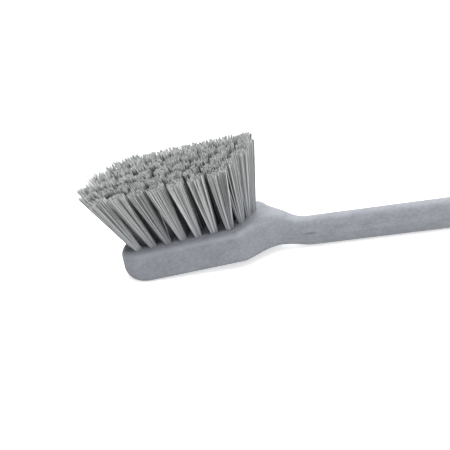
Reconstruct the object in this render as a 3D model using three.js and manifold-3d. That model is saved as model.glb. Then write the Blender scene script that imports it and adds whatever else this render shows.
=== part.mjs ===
// Long-handled pot brush: one moulded block and handle, staple-set tufts of bristle, flat-wire anchors.
// Millimetres. The origin lies at the middle of the block's flat back, +X runs to the handle's end,
// +Z runs to the bristle tips, and Y runs across the block.
import * as THREE from 'three';
import { mergeVertices } from 'three/addons/utils/BufferGeometryUtils.js';
import Module from 'manifold-3d';

const wasm = await Module();
wasm.setup();

// Block
const BLOCK_WIDTH = 65.7;
const BLOCK_THICKNESS = 23;
const TOE_X = -67.8;
const TOE_LENGTH = 34.2;
const TOE_FULLNESS = 2.22;
const TOE_BACK_RADIUS = 9.9;
const TOE_DRAFT = THREE.MathUtils.degToRad(10.6);
const FACE_EDGE_RADIUS = 5;
const BACK_EDGE_RADIUS = 2;
const SIDE_DRAFT = THREE.MathUtils.degToRad(5);

// Shoulder: the plan draws in over two corners, the face and the back slope down to the handle
const SHOULDER_X = 50;
const SHOULDER_WIDTH = 60.9;
const SHOULDER_BEND = 2.6;
const GUSSET_X = 65.6;
const GUSSET_WIDTH = 29.2;
const WAIST_X = 79.1;
const WAIST_BEND = 8;
const FACE_END_X = 71.3;
const FACE_FOOT_X = 86.1;
const BACK_END_X = 67.4;
const BACK_FOOT_X = 88.3;
const SLOPE_BEND = 7;
const FACE_ROUND_X = [39.8, 77.4];
const BACK_ROUND_X = [60, 88];
const UPRIGHT_X = [39.8, 80];

// Handle
const NECK_X = 104;
const NECK_AXIS_Z = 0.5;
const HANDLE_DIAMETER = 22;
const HANDLE_ANGLE = THREE.MathUtils.degToRad(4.1);
const HANDLE_END_X = 430;
const HANDLE_END_ROUNDING = 9;
const HANDLE_TIP_DIAMETER = 6;
const PARTING_BAND = 0.6;
const HANG_HOLE_DIAMETER = 9;
const HANG_HOLE_FROM_END = 18;

// Tuft pattern: five rows along the block, each from a toe end to a heel end on the face and at the tips
const ROW_PITCH_TOE = 9.9;
const ROW_PITCH_HEEL = 8.5;
const OUTER_ROW_TUFTS = 7;
const OUTER_ROW_TOE_X = -41.1;
const OUTER_ROW_HEEL_X = 40.4;
const NEAR_OUTER_TIPS_TOE_X = -47.2;
const NEAR_OUTER_TIPS_HEEL_X = 56;
const FAR_OUTER_TIPS_TOE_X = -53;
const FAR_OUTER_TIPS_HEEL_X = 54;
const INNER_ROW_TUFTS = 9;
const NEAR_INNER_ROW_TOE_X = -51;
const NEAR_INNER_ROW_HEEL_X = 46.8;
const NEAR_INNER_TIPS_TOE_X = -64;
const NEAR_INNER_TIPS_HEEL_X = 59.5;
const FAR_INNER_ROW_TOE_X = -52.3;
const FAR_INNER_ROW_HEEL_X = 50.2;
const FAR_INNER_TIPS_TOE_X = -69;
const FAR_INNER_TIPS_HEEL_X = 62.5;
const MIDDLE_ROW_TUFTS = 9;
const MIDDLE_ROW_TOE_X = -54.5;
const MIDDLE_ROW_HEEL_X = 49.2;
const MIDDLE_TIPS_TOE_X = -72.5;
const MIDDLE_TIPS_HEEL_X = 63.3;
const BRISTLE_LENGTH = 53;
const NEAR_FLARE_ACROSS = 0.82;
const FAR_FLARE_ACROSS = 0.84;
const HOLE_LEAN = 0.6;

// Holes, roots and anchors
const HOLE_DIAMETER = 6.6;
const BACK_WALL = 9;
const CLEARANCE = 0.3;
const ANCHOR_WIRE_HEIGHT = 2.2;
const ANCHOR_WIRE_THICKNESS = 0.5;
const ANCHOR_LIFT = 2.4;

// Backing slice that carries each group of strands, let in flush with the face
const SLICE_THICKNESS = 1.6;
const SLICE_MARGIN = 1;
const SLICE_CORNER = 12;

// Strands
const STRANDS_PER_TUFT = 10;
const STRAND_SIDES = 3;
const STRAND_BASE_RADIUS = 0.55;
const STRAND_TIP_RADIUS = 1.2;
const TUFT_SPREAD_BASE = 2.4;
const TUFT_SPREAD_TIP = 6.9;
const STRAND_SINK = 0.6;

// Steps
const TOE_STEPS = 14;
const SIDE_STEPS = 5;
const SHOULDER_STEPS = 18;
const END_STEPS = 5;
const ARC_STEPS = 7;
const HOLE_SIDES = 14;
const ROOT_SIDES = 9;

const plastic = new THREE.MeshStandardMaterial({ color: 0x94969f, roughness: 0.62, metalness: 0 });
const filament = new THREE.MeshStandardMaterial({ color: 0xb4b3b0, roughness: 0.45, metalness: 0 });
const wire = new THREE.MeshStandardMaterial({ color: 0xb0a584, roughness: 0.35, metalness: 0.9 });

// Closed mesh to solid and back
function toSolid(geometry) {
  const bare = geometry.clone();
  bare.deleteAttribute('normal');
  bare.deleteAttribute('uv');
  const merged = mergeVertices(bare, 1e-4);
  const index = merged.index.array;
  const kept = [];
  for (let i = 0; i < index.length; i += 3) {
    const [a, b, c] = [index[i], index[i + 1], index[i + 2]];
    if (a !== b && b !== c && c !== a) {
      kept.push(a, b, c);
    }
  }
  const vertProperties = new Float32Array(merged.attributes.position.array);
  return new wasm.Manifold(new wasm.Mesh({ numProp: 3, vertProperties, triVerts: new Uint32Array(kept) }));
}

function toGeometry(solid) {
  const mesh = solid.getMesh();
  const geometry = new THREE.BufferGeometry();
  geometry.setAttribute('position', new THREE.BufferAttribute(new Float32Array(mesh.vertProperties), 3));
  geometry.setIndex(new THREE.BufferAttribute(new Uint32Array(mesh.triVerts), 1));
  geometry.computeVertexNormals();
  return geometry;
}

const lerp = THREE.MathUtils.lerp;
const ease = (x, from, to) => THREE.MathUtils.smoothstep(x, from, to);

// Skin over a run of closed rings that all have the same number of points, with flat ends
function skin(rings) {
  const points = [];
  const faces = [];
  const count = rings[0].length;
  for (const ring of rings) {
    for (const p of ring) {
      points.push(p.x, p.y, p.z);
    }
  }
  for (let r = 0; r + 1 < rings.length; r += 1) {
    for (let k = 0; k < count; k += 1) {
      const a = r * count + k;
      const b = r * count + ((k + 1) % count);
      faces.push(a, a + count, b, b, a + count, b + count);
    }
  }
  const half = count / 2;
  const last = (rings.length - 1) * count;
  for (let k = 0; k + 1 < half; k += 1) {
    const far = count - 1 - k;
    faces.push(k, k + 1, far, k + 1, far - 1, far);
    faces.push(last + k, last + far, last + k + 1, last + k + 1, last + far, last + far - 1);
  }
  const geometry = new THREE.BufferGeometry();
  geometry.setAttribute('position', new THREE.BufferAttribute(new Float32Array(points), 3));
  geometry.setIndex(faces);
  return geometry;
}

// Half section from the back to the face: how far each point lies inside the back's edge, and its height
function halfSection(back, face, backRadius, faceRadius, draft) {
  const section = [];
  const add = (inset, z) => section.push([inset + (z - back) * Math.tan(draft), z]);
  for (let k = 0; k <= ARC_STEPS; k += 1) {
    const angle = (Math.PI / 2) * (k / ARC_STEPS - 1);
    add(backRadius * (1 - Math.cos(angle)), back + backRadius * (1 + Math.sin(angle)));
  }
  for (let k = 0; k <= ARC_STEPS; k += 1) {
    const angle = (Math.PI / 2) * (k / ARC_STEPS);
    add(faceRadius * (1 - Math.cos(angle)), face - faceRadius * (1 - Math.sin(angle)));
  }
  return section;
}

// Ring at one point of the plan outline, mirrored across the middle of the brush
function ringAt(x, halfWidth, normal, section) {
  const near = section.map(([inset, z]) => new THREE.Vector3(
    x - normal.x * inset,
    -Math.max(halfWidth - normal.y * inset, 0),
    z,
  ));
  const far = near.map((p) => new THREE.Vector3(p.x, -p.y, p.z)).reverse();
  return near.concat(far);
}

// Plan of the toe: a full-cornered oval
function toePlan(turn) {
  const power = 2 / TOE_FULLNESS;
  return new THREE.Vector2(
    TOE_X + TOE_LENGTH * (1 - Math.pow(Math.cos(turn), power)),
    (BLOCK_WIDTH / 2) * Math.pow(Math.sin(turn), power),
  );
}

function toeNormal(turn) {
  const power = 2 - 2 / TOE_FULLNESS;
  const along = Math.pow(Math.cos(turn), power) / TOE_LENGTH;
  const across = Math.pow(Math.sin(turn), power) / (BLOCK_WIDTH / 2);
  return new THREE.Vector2(-along, across).normalize();
}

// Straight runs joined by soft bends: each corner is its place, its value and the reach of its bend
function bentLine(x, corners, lastSlope) {
  const slopes = [];
  for (let k = 0; k + 1 < corners.length; k += 1) {
    slopes.push((corners[k + 1].value - corners[k].value) / (corners[k + 1].at - corners[k].at));
  }
  slopes.push(lastSlope);
  let value = corners[0].value + slopes[0] * (x - corners[0].at);
  for (let k = 1; k < corners.length; k += 1) {
    value += (slopes[k] - slopes[k - 1]) * softRamp(x - corners[k].at, corners[k].bend);
  }
  return value;
}

function softRamp(distance, bend) {
  if (Math.abs(distance) < bend) {
    return ((distance + bend) * (distance + bend)) / (4 * bend);
  }
  return Math.max(distance, 0);
}

const sideways = new THREE.Vector2(0, 1);
const fall = Math.tan(HANDLE_ANGLE);
const axisHeight = (x) => NECK_AXIS_Z - fall * (x - NECK_X);
const grip = HANDLE_DIAMETER / 2;
const toeEndX = TOE_X + TOE_LENGTH;

const sideLine = [
  { at: toeEndX, value: BLOCK_WIDTH / 2, bend: 0 },
  { at: SHOULDER_X, value: SHOULDER_WIDTH / 2, bend: SHOULDER_BEND },
  { at: GUSSET_X, value: GUSSET_WIDTH / 2, bend: WAIST_BEND },
  { at: WAIST_X, value: grip, bend: WAIST_BEND },
];
const faceLine = [
  { at: toeEndX, value: BLOCK_THICKNESS, bend: 0 },
  { at: FACE_END_X, value: BLOCK_THICKNESS, bend: SLOPE_BEND },
  { at: FACE_FOOT_X, value: axisHeight(FACE_FOOT_X) + grip, bend: SLOPE_BEND },
];
const backLine = [
  { at: toeEndX, value: 0, bend: 0 },
  { at: BACK_END_X, value: 0, bend: SLOPE_BEND },
  { at: BACK_FOOT_X, value: axisHeight(BACK_FOOT_X) - grip, bend: SLOPE_BEND },
];

function handleRing(x, radius) {
  const corner = radius - PARTING_BAND / 2;
  const height = axisHeight(x);
  return ringAt(x, radius, sideways, halfSection(height - radius, height + radius, corner, corner, 0));
}

// Ring of the block behind the toe or of the shoulder
function blockRing(x) {
  const corner = grip - PARTING_BAND / 2;
  const section = halfSection(
    bentLine(x, backLine, -fall),
    bentLine(x, faceLine, -fall),
    lerp(BACK_EDGE_RADIUS, corner, ease(x, ...BACK_ROUND_X)),
    lerp(FACE_EDGE_RADIUS, corner, ease(x, ...FACE_ROUND_X)),
    lerp(SIDE_DRAFT, 0, ease(x, ...UPRIGHT_X)),
  );
  return ringAt(x, bentLine(x, sideLine, 0), sideways, section);
}

// Ring of the toe, where the back sweeps up in a larger rounding towards the nose
function toeRing(turn) {
  const nose = ease(Math.cos(turn), 0, 1);
  const section = halfSection(
    0,
    BLOCK_THICKNESS,
    lerp(BACK_EDGE_RADIUS, TOE_BACK_RADIUS, nose),
    FACE_EDGE_RADIUS,
    lerp(SIDE_DRAFT, TOE_DRAFT, nose),
  );
  const plan = toePlan(turn);
  return ringAt(plan.x, plan.y, toeNormal(turn), section);
}

function mouldedBody() {
  const rings = [];
  for (let k = 0; k <= TOE_STEPS; k += 1) {
    rings.push(toeRing((Math.PI / 2) * (k / TOE_STEPS)));
  }
  const shoulderStart = SHOULDER_X - SHOULDER_BEND;
  for (let k = 1; k < SIDE_STEPS; k += 1) {
    rings.push(blockRing(lerp(toeEndX, shoulderStart, k / SIDE_STEPS)));
  }
  const shoulderEnd = BACK_FOOT_X + SLOPE_BEND;
  for (let k = 0; k <= SHOULDER_STEPS; k += 1) {
    rings.push(blockRing(lerp(shoulderStart, shoulderEnd, k / SHOULDER_STEPS)));
  }
  const straightEnd = HANDLE_END_X - HANDLE_END_ROUNDING;
  for (let k = 0; k <= END_STEPS; k += 1) {
    const turn = (Math.PI / 2) * (k / END_STEPS);
    const radius = lerp(HANDLE_TIP_DIAMETER / 2, grip, Math.cos(turn));
    rings.push(handleRing(straightEnd + HANDLE_END_ROUNDING * Math.sin(turn), radius));
  }
  return toSolid(skin(rings));
}

const nearOuterRow = {
  count: OUTER_ROW_TUFTS,
  base: [OUTER_ROW_TOE_X, OUTER_ROW_HEEL_X],
  tips: [NEAR_OUTER_TIPS_TOE_X, NEAR_OUTER_TIPS_HEEL_X],
  flare: NEAR_FLARE_ACROSS,
};
const nearInnerRow = {
  count: INNER_ROW_TUFTS,
  base: [NEAR_INNER_ROW_TOE_X, NEAR_INNER_ROW_HEEL_X],
  tips: [NEAR_INNER_TIPS_TOE_X, NEAR_INNER_TIPS_HEEL_X],
  flare: NEAR_FLARE_ACROSS,
};
const middleRow = {
  count: MIDDLE_ROW_TUFTS,
  base: [MIDDLE_ROW_TOE_X, MIDDLE_ROW_HEEL_X],
  tips: [MIDDLE_TIPS_TOE_X, MIDDLE_TIPS_HEEL_X],
  flare: 0,
};
const farInnerRow = {
  count: INNER_ROW_TUFTS,
  base: [FAR_INNER_ROW_TOE_X, FAR_INNER_ROW_HEEL_X],
  tips: [FAR_INNER_TIPS_TOE_X, FAR_INNER_TIPS_HEEL_X],
  flare: FAR_FLARE_ACROSS,
};
const farOuterRow = {
  count: OUTER_ROW_TUFTS,
  base: [OUTER_ROW_TOE_X, OUTER_ROW_HEEL_X],
  tips: [FAR_OUTER_TIPS_TOE_X, FAR_OUTER_TIPS_HEEL_X],
  flare: FAR_FLARE_ACROSS,
};
const rows = [nearOuterRow, nearInnerRow, middleRow, farInnerRow, farOuterRow];
const middle = (rows.length - 1) / 2;

// The rows draw together from the toe to the heel, as the sides do
function rowPitch(x) {
  const along = (x - OUTER_ROW_TOE_X) / (OUTER_ROW_HEEL_X - OUTER_ROW_TOE_X);
  return lerp(ROW_PITCH_TOE, ROW_PITCH_HEEL, along);
}

// Every tuft: where it leaves the face, how its tip leans out, and how its hole is drilled
function tuftList() {
  const tufts = [];
  rows.forEach((row, index) => {
    for (let k = 0; k < row.count; k += 1) {
      const along = k / (row.count - 1);
      const x = lerp(...row.base, along);
      const y = (index - middle) * rowPitch(x);
      const base = new THREE.Vector3(x, y, BLOCK_THICKNESS);
      const lean = new THREE.Vector3(lerp(...row.tips, along) - x, row.flare * y, BRISTLE_LENGTH);
      const drilled = new THREE.Vector3(HOLE_LEAN * lean.x, HOLE_LEAN * lean.y, lean.z);
      tufts.push({ row: index - middle, count: k, base, lean, turn: turnTo(drilled) });
    }
  });
  return tufts;
}

function turnTo(direction) {
  const up = new THREE.Vector3(0, 0, 1);
  return new THREE.Quaternion().setFromUnitVectors(up, direction.clone().normalize());
}

// Solid of a part whose own +Z lies along the tuft, placed on that tuft
function alongTuft(geometry, tuft, distance) {
  const placed = geometry.clone();
  placed.translate(0, 0, distance);
  placed.applyQuaternion(tuft.turn);
  placed.translate(tuft.base.x, tuft.base.y, tuft.base.z);
  return toSolid(placed);
}

function upright(diameter, length, sides) {
  const geometry = new THREE.CylinderGeometry(diameter / 2, diameter / 2, length, sides);
  geometry.rotateX(Math.PI / 2);
  return geometry;
}

// Oval of the recess for the backing slices, drawn in by a gap
function recessShape(gap) {
  const tuftReach = HOLE_DIAMETER / 2 + SLICE_MARGIN - gap;
  const toeEnd = Math.min(...rows.map((row) => row.base[0])) - tuftReach;
  const heelEnd = Math.max(...rows.map((row) => row.base[1])) + tuftReach;
  const toeSide = middle * ROW_PITCH_TOE + tuftReach;
  const heelSide = middle * ROW_PITCH_HEEL + tuftReach;
  const corner = SLICE_CORNER - gap;
  const outer = OUTER_ROW_TOE_X;
  const shape = new THREE.Shape();
  shape.moveTo(outer, -toeSide);
  shape.lineTo(heelEnd - corner, -heelSide);
  shape.absarc(heelEnd - corner, -heelSide + corner, corner, -Math.PI / 2, 0, false);
  shape.lineTo(heelEnd, heelSide - corner);
  shape.absarc(heelEnd - corner, heelSide - corner, corner, 0, Math.PI / 2, false);
  shape.lineTo(outer, toeSide);
  shape.absellipse(outer, 0, outer - toeEnd, toeSide, Math.PI / 2, (3 * Math.PI) / 2, false);
  return shape;
}

function recessPlate(gap, thickness, top) {
  const geometry = new THREE.ExtrudeGeometry(recessShape(gap), {
    depth: thickness,
    bevelEnabled: false,
    curveSegments: 10,
  });
  geometry.translate(0, 0, top - thickness);
  return toSolid(geometry);
}

// Straight strands of one group of tufts, as one mesh of separate prisms
function strandPrisms(tufts) {
  const points = [];
  const faces = [];
  const golden = Math.PI * (3 - Math.sqrt(5));
  for (const tuft of tufts) {
    for (let s = 0; s < STRANDS_PER_TUFT; s += 1) {
      const reach = Math.sqrt((s + 0.5) / STRANDS_PER_TUFT);
      const around = s * golden + tuft.count;
      const out = new THREE.Vector3(Math.cos(around) * reach, Math.sin(around) * reach, 0);
      const foot = tuft.base.clone().addScaledVector(out, TUFT_SPREAD_BASE);
      const head = tuft.base.clone().add(tuft.lean).addScaledVector(out, TUFT_SPREAD_TIP);
      foot.lerp(head, -STRAND_SINK / BRISTLE_LENGTH);
      const start = points.length / 3;
      const ends = [[foot, STRAND_BASE_RADIUS], [head, STRAND_TIP_RADIUS]];
      for (const [end, radius] of ends) {
        for (let k = 0; k < STRAND_SIDES; k += 1) {
          const angle = (2 * Math.PI * k) / STRAND_SIDES + around;
          points.push(end.x + radius * Math.cos(angle));
          points.push(end.y + radius * Math.sin(angle));
          points.push(end.z);
        }
      }
      for (let k = 0; k < STRAND_SIDES; k += 1) {
        const next = (k + 1) % STRAND_SIDES;
        const [a, b] = [start + k, start + next];
        faces.push(a, b, a + STRAND_SIDES, b, b + STRAND_SIDES, a + STRAND_SIDES);
      }
      for (let k = 1; k + 1 < STRAND_SIDES; k += 1) {
        faces.push(start, start + k + 1, start + k);
        faces.push(start + STRAND_SIDES, start + STRAND_SIDES + k, start + STRAND_SIDES + k + 1);
      }
    }
  }
  const geometry = new THREE.BufferGeometry();
  geometry.setAttribute('position', new THREE.BufferAttribute(new Float32Array(points), 3));
  geometry.setIndex(faces);
  return toSolid(geometry);
}

const holeDepth = BLOCK_THICKNESS - BACK_WALL;
const rootDiameter = HOLE_DIAMETER - 2 * CLEARANCE;
const rootLength = holeDepth - CLEARANCE;
const anchorLength = HOLE_DIAMETER - 2 * CLEARANCE;
const anchorDistance = -rootLength + ANCHOR_LIFT + ANCHOR_WIRE_HEIGHT / 2;

// Where one slice ends and the next begins, or the outside of the recess
function sliceEdge(place) {
  if (Math.abs(place) > middle) {
    return Math.sign(place) * BLOCK_WIDTH;
  }
  return place * ROW_PITCH_HEEL;
}

// Strands, backing slice and folded roots of the tufts in the given rows
function bristleGroup(tufts, places) {
  const own = tufts.filter((tuft) => places.includes(tuft.row));
  const low = sliceEdge(Math.min(...places) - 0.5) + CLEARANCE / 2;
  const high = sliceEdge(Math.max(...places) + 0.5) - CLEARANCE / 2;
  const strip = new THREE.BoxGeometry(4 * BLOCK_WIDTH, high - low, 4 * BLOCK_THICKNESS);
  strip.translate(0, (low + high) / 2, BLOCK_THICKNESS);
  const plate = recessPlate(CLEARANCE, 2 * SLICE_THICKNESS, BLOCK_THICKNESS + SLICE_THICKNESS);
  let group = plate.intersect(toSolid(strip));
  const rootAbove = 2 * SLICE_THICKNESS;
  const root = upright(rootDiameter, rootLength + rootAbove, ROOT_SIDES);
  const eye = new THREE.BoxGeometry(
    2 * HOLE_DIAMETER,
    ANCHOR_WIRE_THICKNESS + 2 * CLEARANCE,
    ANCHOR_WIRE_HEIGHT + 2 * CLEARANCE,
  );
  for (const tuft of own) {
    const folded = alongTuft(root, tuft, (rootAbove - rootLength) / 2);
    group = group.add(folded.subtract(alongTuft(eye, tuft, anchorDistance)));
  }
  const above = new THREE.BoxGeometry(4 * BLOCK_WIDTH, 4 * BLOCK_WIDTH, BRISTLE_LENGTH);
  above.translate(0, 0, BLOCK_THICKNESS + BRISTLE_LENGTH / 2);
  return group.subtract(toSolid(above)).add(strandPrisms(own));
}

const brush = new THREE.Group();
const tufts = tuftList();

const recess = recessPlate(0, SLICE_THICKNESS + 2 * CLEARANCE, BLOCK_THICKNESS + CLEARANCE);
let body = mouldedBody().subtract(recess);
const hole = upright(HOLE_DIAMETER, holeDepth + SLICE_THICKNESS, HOLE_SIDES);
for (const tuft of tufts) {
  body = body.subtract(alongTuft(hole, tuft, (SLICE_THICKNESS - holeDepth) / 2));
}
const hangX = HANDLE_END_X - HANG_HOLE_FROM_END;
const hang = upright(HANG_HOLE_DIAMETER, 2 * HANDLE_DIAMETER, HOLE_SIDES);
hang.translate(hangX, 0, axisHeight(hangX));
body = body.subtract(toSolid(hang));

function addPart(name, geometry, material) {
  const mesh = new THREE.Mesh(geometry, material);
  mesh.name = name;
  brush.add(mesh);
  return mesh;
}

addPart('handle_block', toGeometry(body), plastic);
addPart('bristles_near', toGeometry(bristleGroup(tufts, [-2, -1])), filament);
addPart('bristles_centre', toGeometry(bristleGroup(tufts, [0])), filament);
addPart('bristles_far', toGeometry(bristleGroup(tufts, [1, 2])), filament);

tufts.forEach((tuft, k) => {
  const strip = new THREE.BoxGeometry(anchorLength, ANCHOR_WIRE_THICKNESS, ANCHOR_WIRE_HEIGHT);
  const anchor = addPart(`tuft_anchor_${String(k + 1).padStart(2, '0')}`, strip, wire);
  anchor.quaternion.copy(tuft.turn);
  anchor.position.copy(tuft.base);
  anchor.translateZ(anchorDistance);
});

export default brush;
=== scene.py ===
import math
import random

import bmesh
import bpy
import numpy as np
from bpy.props import FloatProperty, FloatVectorProperty, IntProperty, PointerProperty
from mathutils import Matrix, Vector


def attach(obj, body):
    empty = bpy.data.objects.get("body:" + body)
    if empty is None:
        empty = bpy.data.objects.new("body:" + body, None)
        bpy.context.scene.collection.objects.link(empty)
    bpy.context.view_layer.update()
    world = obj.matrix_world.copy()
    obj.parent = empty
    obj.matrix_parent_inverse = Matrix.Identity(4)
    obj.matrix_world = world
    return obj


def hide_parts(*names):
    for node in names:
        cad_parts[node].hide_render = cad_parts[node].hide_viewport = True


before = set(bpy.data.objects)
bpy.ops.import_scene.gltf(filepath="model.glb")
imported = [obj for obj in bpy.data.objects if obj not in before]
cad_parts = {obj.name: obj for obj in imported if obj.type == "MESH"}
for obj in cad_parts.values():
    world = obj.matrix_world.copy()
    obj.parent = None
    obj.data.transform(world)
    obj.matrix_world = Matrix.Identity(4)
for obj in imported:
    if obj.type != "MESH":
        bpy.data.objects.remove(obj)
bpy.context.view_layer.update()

bl_info = {
    "name": "Pot Brush",
    "version": (1, 0, 0),
    "blender": (4, 5, 0),
    "location": "3D View > Sidebar > Pot Brush",
    "description": "Models a long-handled pot brush with flared bristle tufts",
    "category": "Object",
}

# Steps of the meshes

ARC_STEPS = 11
TOE_STEPS = 30
SIDE_STEPS = 10
SHOULDER_STEPS = 36
GRIP_STEPS = 14
END_STEPS = 12
HOLE_SIDES = 24
HANG_HOLE_SIDES = 40
GATE_SIDES = 32
FILAMENT_SIDES = 4
FILAMENT_STOPS = (0.0, 0.25, 0.5, 0.75, 0.93, 1.0)
MERGE_DISTANCE = 1e-6
LEAST_EDGE = 1e-7
SMOOTH_ANGLE = math.radians(34)

# Details of the moulding

HOLD_STRIP = 0.0012
RIDGE_CREST = 0.4
RIDGE_FOOT = 0.8
DRILL_CLEARANCE = 0.003
DRILL_CONE = 0.55
DRILL_TIP = 0.05
FACING_DOWN = -0.9
HANG_MOUTH = 0.0032
HANG_MOUTH_STEPS = ((0.0012, 1.035), (0.0010, 1.1), (0.0007, 1.17), (0.004, 1.5))
GATE_X = 0.0988
GATE_RISE = 0.0025
GATE_RADIUS = 0.001
GATE_STRETCH = (5.4, 1.2, 0.9)

# Growth of the tufts, where the rows count from minus two on the near side to two on the far side

SEED = 20
OUTER_ROW = 2
GOLDEN_ANGLE = math.pi * (3 - math.sqrt(5))
PACKING = 0.6
REACH_RANGE = (0.96, 1.04)
FIRST_TOE_STEP = 0.5
FAR_ROW_TOE = 0.55
FAR_ROW_HEEL = 0.3
FIRST_FAR = 0.65
CORNER_FAR = 0.35
FANNED_OVER = 1.1
FAN_POWER = 4
SQUARENESS = 0.5
BUNCH_RANGE = (0.92, 1.05)
BUNCH_SWAY = 0.15
GATHER_RANGE = (0.5, 1.3)
TIP_STRAY = 0.0002
LOOSE_SHARE = 0.02
LOOSE_STRAY = 0.0024
FANNED_STRAY = 0.0012
TRIM_RANGE = (-0.001, 0.0004)
FANNED_TRIM = 0.45
SHORT_SHARE = 0.03
SHORT_RANGE = (0.97, 0.99)
BOW = 0.00012
BULGE = 0.0001
THICKNESS_RANGE = (0.85, 1.12)
TIP_SWELL = 0.35

# Tones of the filaments, with painted shade on those that face other tufts and painted light on the
# first tufts

TUFT_TONE = 0.06
BUNCH_TONE = 0.17
OWN_TONE = 0.42
ROOT_TONE = 0.35
TONE_RISE = 0.4
TIP_CALM = 0.4
TIP_CALM_POWER = 6
TRIM_POWER = 12
# Spread of the painted shade on the filaments that face other tufts
SHELTER_EDGE = 0.2
SHELTER_FALL = 2.5
# Painted light that makes the first tuft of each row paler
TOE_GLOW = 0.25
TONE_SPAN = (-0.85, 0.6)
TONE_SCALE = (0.1, 1.5)
CUT_END = 0.97

# Tones of the other finishes, with a painted highlight on the block's face edge and painted shade
# on the face among the tufts

SPECKLE_HEIGHT = 0.55
SPECK_SHARE = 0.45
SPECK_DULL = 0.86
SPECK_PALE = 1.12
# Painted highlight along the block's rounded face edge, picked by the slope of the surface
HIGHLIGHT_PALE = 1.13
HIGHLIGHT_SLOPE = 0.62
HIGHLIGHT_REACH = 0.36
# Painted shade on the face among the tufts
FIELD_SHADE_TONE = 0.54
FIELD_MARGIN = 0.003
FIELD_FADE = (0.011, 0.002)
WIRE_DULL = 0.7
FLOOR_DULL = 0.985
FLOOR_GLOW_FROM = (0.8, 2.4)
FLOOR_GLOW = (0.31, 1.0)
FLOOR_SEEN_GLOW = 0.3
WHITE = (1.0, 1.0, 1.0, 1.0)

# Colour sockets of a Mix node

MIX_A = 6
MIX_B = 7
MIX_RESULT = 2

# Stage

FLOOR_SIZE = 9.0
FLOOR_CUTS = 6
FLOOR_GAP = 0.0001
FILL_STRENGTH = 0.08
SOFTBOX_SIZE = 1.4
SOFTBOX_AIM = (0.05, 0.0, 0.02)
SOFTBOXES = (
    ("back_softbox", (0.05, 1.41, 1.41), 66.0),
    ("key_softbox", (1.02, -0.97, 1.45), 39.0),
    ("toe_softbox", (-1.3, -1.35, 0.59), 11.5),
    ("overhead_softbox", (0.94, 0.0, 1.79), 10.0),
)


# Sizes and colours that a user would change

class BlockSizes(bpy.types.PropertyGroup):
    """Sizes of the block that carries the tufts."""

    width: FloatProperty(
        name="Width", description="Width of the back where the toe ends", default=0.0657,
        unit="LENGTH")
    thickness: FloatProperty(
        name="Thickness", description="Height of the face over the back", default=0.023,
        unit="LENGTH")
    toe_x: FloatProperty(
        name="Toe", description="Place of the toe along the brush", default=-0.0678, unit="LENGTH")
    toe_length: FloatProperty(
        name="Toe Length", description="Length of the rounded toe", default=0.0342, unit="LENGTH")
    toe_fullness: FloatProperty(
        name="Toe Fullness", description="Two gives an ellipse, more gives fuller corners",
        default=2.22)
    toe_back_edge: FloatProperty(
        name="Toe Back Edge", description="Rounding under the nose", default=0.0099, unit="LENGTH")
    toe_draft: FloatProperty(
        name="Toe Draft", description="Slope of the wall at the nose", default=math.radians(10.6),
        unit="ROTATION")
    face_edge: FloatProperty(
        name="Face Edge", description="Rounding round the face", default=0.005, unit="LENGTH")
    back_edge: FloatProperty(
        name="Back Edge", description="Rounding round the back", default=0.002, unit="LENGTH")
    draft: FloatProperty(
        name="Draft", description="Slope of the side walls", default=math.radians(5),
        unit="ROTATION")


class ShoulderSizes(bpy.types.PropertyGroup):
    """Sizes of the shoulder, where the block draws in and slopes down to the handle."""

    corner_x: FloatProperty(
        name="Corner", description="Where the sides turn in", default=0.050, unit="LENGTH")
    corner_width: FloatProperty(
        name="Corner Width", description="Width at the corner", default=0.0609, unit="LENGTH")
    corner_bend: FloatProperty(
        name="Corner Bend", description="Reach of the corner's bend", default=0.0026, unit="LENGTH")
    gusset_x: FloatProperty(
        name="Gusset", description="Where the sides turn back", default=0.0656, unit="LENGTH")
    gusset_width: FloatProperty(
        name="Gusset Width", description="Width at the gusset", default=0.0292, unit="LENGTH")
    waist_x: FloatProperty(
        name="Waist", description="Where the handle's width is reached", default=0.0791,
        unit="LENGTH")
    waist_bend: FloatProperty(
        name="Waist Bend", description="Reach of the bends at gusset and waist", default=0.008,
        unit="LENGTH")
    face_end: FloatProperty(
        name="Face End", description="Where the face starts to fall", default=0.0713, unit="LENGTH")
    face_foot: FloatProperty(
        name="Face Foot", description="Where the face meets the handle", default=0.0861,
        unit="LENGTH")
    back_end: FloatProperty(
        name="Back End", description="Where the back starts to fall", default=0.0674, unit="LENGTH")
    back_foot: FloatProperty(
        name="Back Foot", description="Where the back meets the handle", default=0.0883,
        unit="LENGTH")
    slope_bend: FloatProperty(
        name="Slope Bend", description="Reach of the bends of face and back", default=0.007,
        unit="LENGTH")
    face_round: FloatVectorProperty(
        name="Face Rounding", description="Where the face edge grows to the handle's round", size=2,
        default=(0.0398, 0.0774), unit="LENGTH")
    back_round: FloatVectorProperty(
        name="Back Rounding", description="Where the back edge grows to the handle's round", size=2,
        default=(0.060, 0.088), unit="LENGTH")
    upright: FloatVectorProperty(
        name="Upright", description="Where the side walls lose their slope", size=2,
        default=(0.0398, 0.080), unit="LENGTH")


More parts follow.
